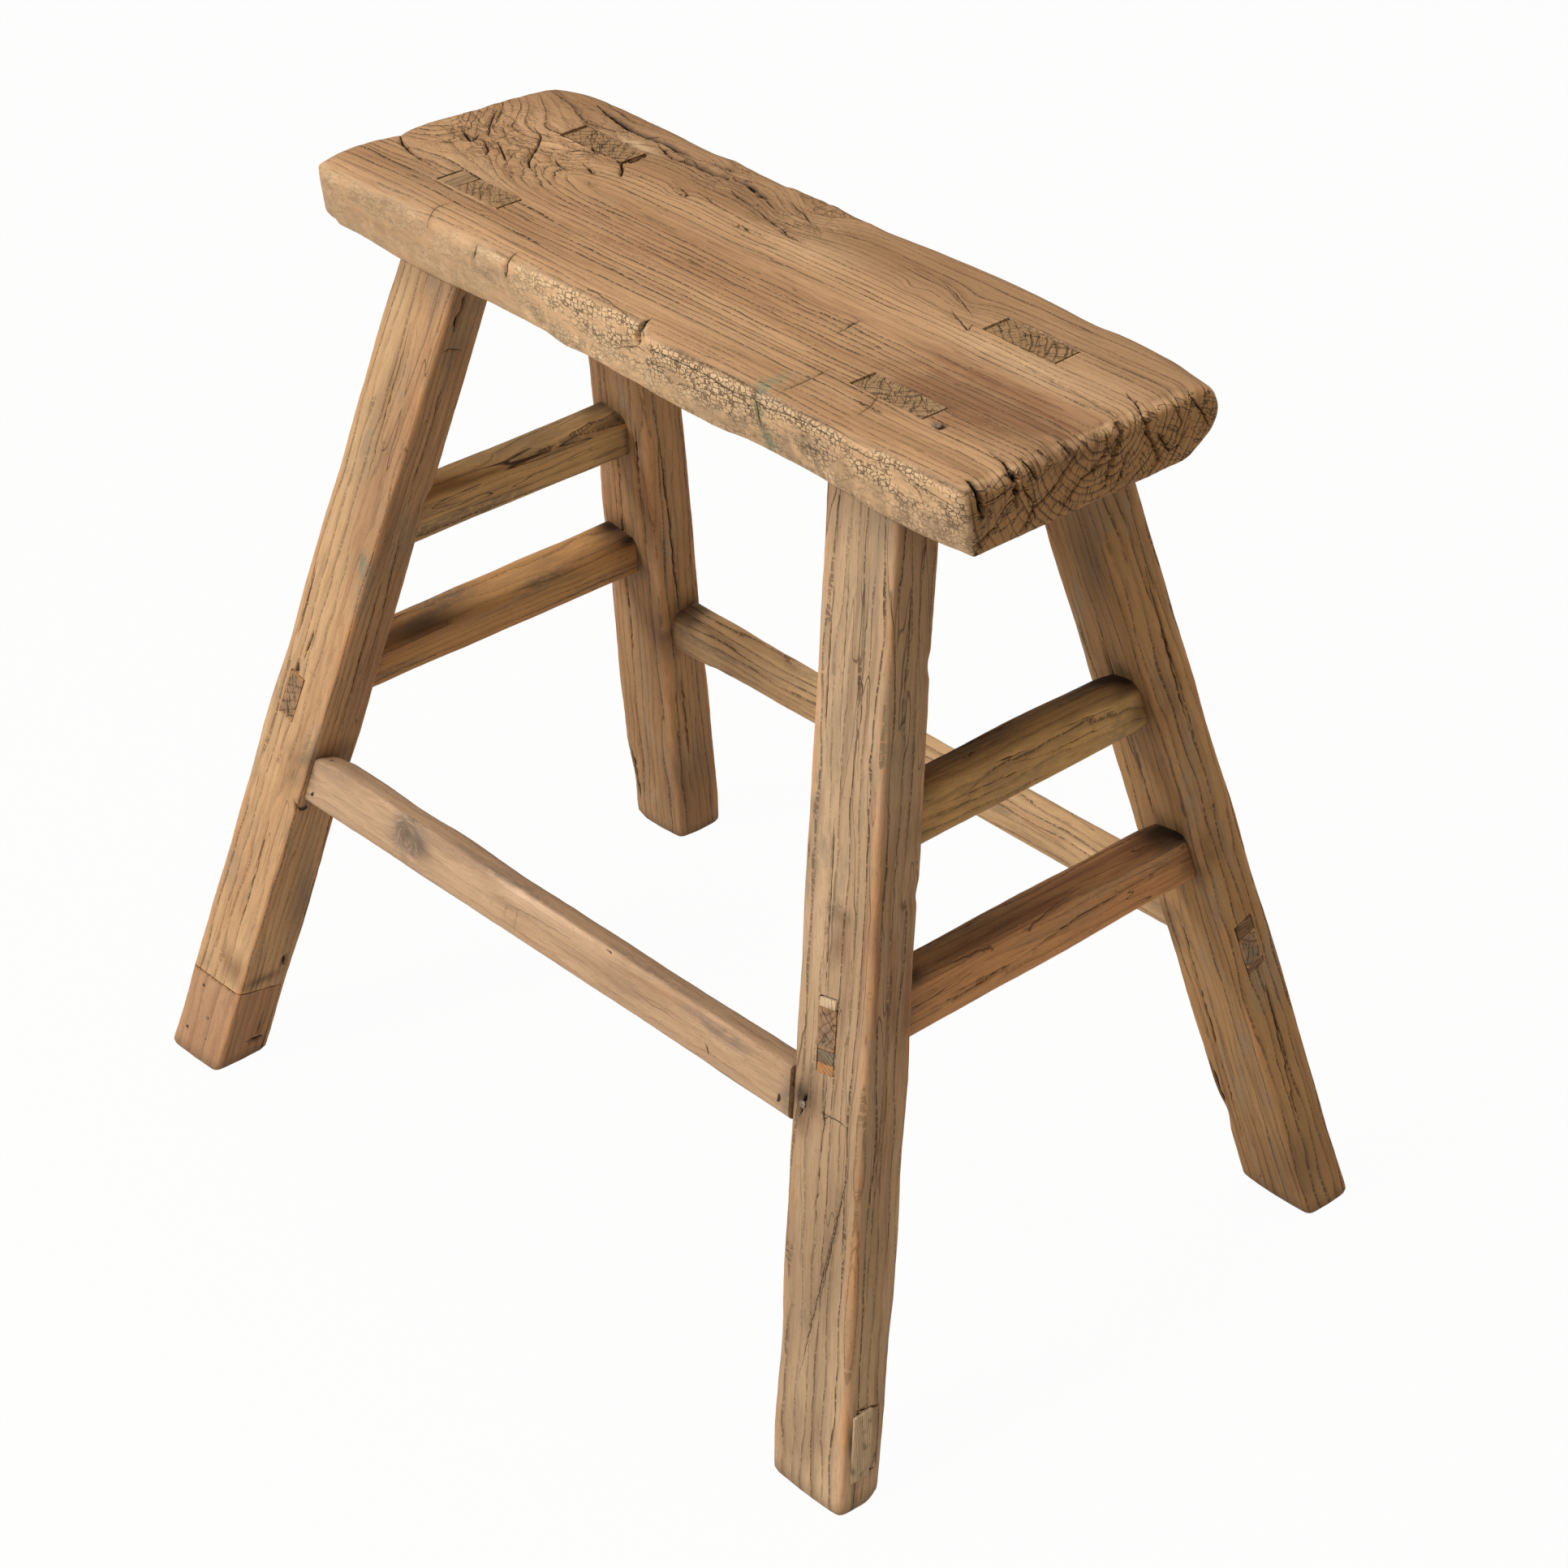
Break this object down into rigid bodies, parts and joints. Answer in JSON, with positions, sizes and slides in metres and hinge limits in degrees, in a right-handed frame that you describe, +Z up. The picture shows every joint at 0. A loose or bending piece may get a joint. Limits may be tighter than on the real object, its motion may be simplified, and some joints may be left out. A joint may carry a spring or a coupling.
{
  "type": "stool",
  "caption": "Old rustic elm stool: a thick live-edge plank seat on splayed legs, tied by worn end rails and long rails, with wedged through tenons.",
  "frame": {"origin": "on the floor, in the middle of the box round the feet and the seat", "axes": "+X along the seat to its sawn right end, -Y to the front, +Z up"},
  "size_m": [0.5236, 0.3688, 0.5],
  "materials": {
    "seat_elm": "bare, weathered, worn smooth",
    "leg_elm": "bare, weathered, worn edges",
    "rail_elm": "bare, dark stained beside the legs",
    "replacement_rail_wood": "bare, sawn, pinkish",
    "toe_wood": "bare, reddish",
    "pale_patch_wood": "bare, pale",
    "wedge_wood": "bare end grain",
    "iron_nails": "dull, rusted"
  },
  "bodies": {
    "root": {"end_rail_left_lower": "rail_elm", "end_rail_left_upper": "rail_elm", "end_rail_right_lower": "rail_elm", "end_rail_right_upper": "rail_elm", "foot_patch_front_right": "pale_patch_wood", "foot_toe_front_left": "toe_wood", "foot_toe_nail_1": "iron_nails", "foot_toe_nail_2": "iron_nails", "foot_toe_nail_3": "iron_nails", "foot_toe_nail_4": "iron_nails", "front_rail_nail_1": "iron_nails", "front_rail_nail_2": "iron_nails", "front_rail_nail_3": "iron_nails", "front_rail_nail_4": "iron_nails", "leg_back_left": "leg_elm", "leg_back_right": "leg_elm", "leg_front_left": "leg_elm", "leg_front_right": "leg_elm", "long_rail_back": "rail_elm", "long_rail_front": "replacement_rail_wood", "seat": "seat_elm", "seat_nail": "iron_nails", "seat_wedge_front_left": "wedge_wood", "tenon_shim_front_right": "pale_patch_wood", "tenon_wedge_back_right_lower": "wedge_wood", "tenon_wedge_back_right_upper": "wedge_wood", "tenon_wedge_front_right_lower": "wedge_wood", "tenon_wedge_front_right_upper": "wedge_wood"}
  },
  "joints": []
}
